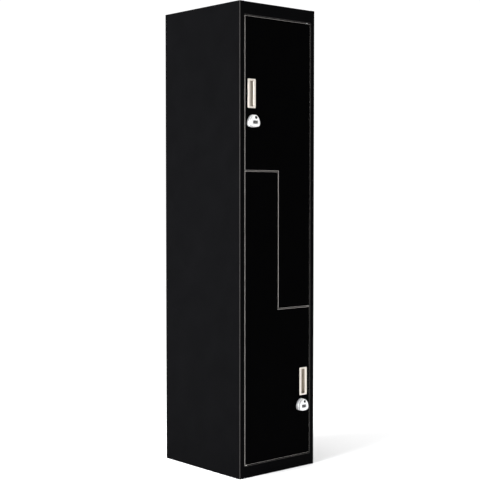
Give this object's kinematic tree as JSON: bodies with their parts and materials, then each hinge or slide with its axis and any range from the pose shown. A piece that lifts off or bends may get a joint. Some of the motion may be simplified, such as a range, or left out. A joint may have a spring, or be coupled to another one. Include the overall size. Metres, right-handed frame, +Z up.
{
  "type": "locker cabinet",
  "caption": "Tall narrow steel locker with interlocking L-shaped doors, recessed pull handles, dial locks and hanging rails.",
  "frame": {"origin": "on the floor, under the centre of the overall outline, lock knobs included", "axes": "+Z up, doors face -Y, +X to the right seen from the front"},
  "size_m": [0.39, 0.4814, 1.8],
  "materials": {
    "carcass_paint": "fine-textured black powder coat on 0.8 mm sheet steel",
    "door_paint": "fine-textured black powder coat on 1 mm sheet steel",
    "satin_nickel": "satin warm nickel plate on a zinc casting",
    "satin_chrome": "satin chrome plate on a zinc casting",
    "key_plug_metal": "dark turned metal",
    "dial_plastic": "moulded dial wheel with engraved numerals",
    "zinc_steel": "bright zinc plated steel",
    "nylon": "natural nylon",
    "rubber": "soft black rubber"
  },
  "bodies": {
    "cabinet": {"left_side_panel": "carcass_paint", "right_side_panel": "carcass_paint", "top_panel": "carcass_paint", "base_panel": "carcass_paint", "back_panel": "carcass_paint", "divider_partition": "carcass_paint", "divider_upper_shelf": "carcass_paint", "divider_lower_shelf": "carcass_paint", "upper_door_bottom_bracket": "carcass_paint", "lower_door_top_bracket": "carcass_paint", "pivot_bushes": "nylon", "upper_hanging_rail": "zinc_steel", "upper_rail_sockets": "zinc_steel", "lower_hanging_rail": "zinc_steel", "lower_rail_sockets": "zinc_steel", "upper_door_buffers": "rubber", "lower_door_buffers": "rubber"},
    "upper_door": {"upper_door_skin": "door_paint", "upper_door_stiffener": "door_paint", "upper_door_pivot_blocks": "door_paint", "upper_door_pivot_pins": "zinc_steel", "upper_handle": "satin_nickel", "upper_lock_base": "satin_chrome", "upper_lock_nut": "zinc_steel"},
    "upper_lock_turn": {"upper_lock_knob": "satin_chrome", "upper_lock_dial_axle": "zinc_steel", "upper_lock_cam": "zinc_steel", "upper_lock_cam_screw": "zinc_steel"},
    "upper_dial_1": {"upper_lock_dial_1": "dial_plastic"},
    "upper_dial_2": {"upper_lock_dial_2": "dial_plastic"},
    "upper_dial_3": {"upper_lock_dial_3": "dial_plastic"},
    "upper_key": {"upper_lock_key_plug": "key_plug_metal"},
    "lower_door": {"lower_door_skin": "door_paint", "lower_door_stiffener": "door_paint", "lower_door_pivot_blocks": "door_paint", "lower_door_pivot_pins": "zinc_steel", "lower_handle": "satin_nickel", "lower_lock_base": "satin_chrome", "lower_lock_nut": "zinc_steel"},
    "lower_lock_turn": {"lower_lock_knob": "satin_chrome", "lower_lock_dial_axle": "zinc_steel", "lower_lock_cam": "zinc_steel", "lower_lock_cam_screw": "zinc_steel"},
    "lower_dial_1": {"lower_lock_dial_1": "dial_plastic"},
    "lower_dial_2": {"lower_lock_dial_2": "dial_plastic"},
    "lower_dial_3": {"lower_lock_dial_3": "dial_plastic"},
    "lower_key": {"lower_lock_key_plug": "key_plug_metal"}
  },
  "joints": [
    {"name": "upper_door_hinge", "type": "hinge", "parent": "cabinet", "child": "upper_door", "pos_m": [0.1595, -0.21175, 1.19], "axis": [0, 0, 1], "range_deg": [0, 110]},
    {"name": "lower_door_hinge", "type": "hinge", "parent": "cabinet", "child": "lower_door", "pos_m": [-0.1595, -0.21175, 0.6], "axis": [0, 0, -1], "range_deg": [0, 110]},
    {"name": "upper_lock_quarter_turn", "type": "hinge", "parent": "upper_door", "child": "upper_lock_turn", "pos_m": [-0.1353, -0.21925, 1.3505], "axis": [0, 1, 0], "range_deg": [0, 90]},
    {"name": "lower_lock_quarter_turn", "type": "hinge", "parent": "lower_door", "child": "lower_lock_turn", "pos_m": [0.1226, -0.21925, 0.245], "axis": [0, -1, 0], "range_deg": [0, 90]},
    {"name": "upper_dial_1_spin", "type": "hinge", "parent": "upper_lock_turn", "child": "upper_dial_1", "pos_m": [-0.1417, -0.23395, 1.3493], "axis": [1, 0, 0], "continuous": true},
    {"name": "upper_dial_2_spin", "type": "hinge", "parent": "upper_lock_turn", "child": "upper_dial_2", "pos_m": [-0.1353, -0.23395, 1.3493], "axis": [1, 0, 0], "continuous": true},
    {"name": "upper_dial_3_spin", "type": "hinge", "parent": "upper_lock_turn", "child": "upper_dial_3", "pos_m": [-0.1289, -0.23395, 1.3493], "axis": [1, 0, 0], "continuous": true},
    {"name": "upper_key_turn", "type": "hinge", "parent": "upper_lock_turn", "child": "upper_key", "pos_m": [-0.1319, -0.23855, 1.3671], "axis": [0, 1, 0], "range_deg": [0, 90]},
    {"name": "lower_dial_1_spin", "type": "hinge", "parent": "lower_lock_turn", "child": "lower_dial_1", "pos_m": [0.1162, -0.23395, 0.2438], "axis": [1, 0, 0], "continuous": true},
    {"name": "lower_dial_2_spin", "type": "hinge", "parent": "lower_lock_turn", "child": "lower_dial_2", "pos_m": [0.1226, -0.23395, 0.2438], "axis": [1, 0, 0], "continuous": true},
    {"name": "lower_dial_3_spin", "type": "hinge", "parent": "lower_lock_turn", "child": "lower_dial_3", "pos_m": [0.129, -0.23395, 0.2438], "axis": [1, 0, 0], "continuous": true},
    {"name": "lower_key_turn", "type": "hinge", "parent": "lower_lock_turn", "child": "lower_key", "pos_m": [0.126, -0.23855, 0.2616], "axis": [0, 1, 0], "range_deg": [0, 90]}
  ]
}
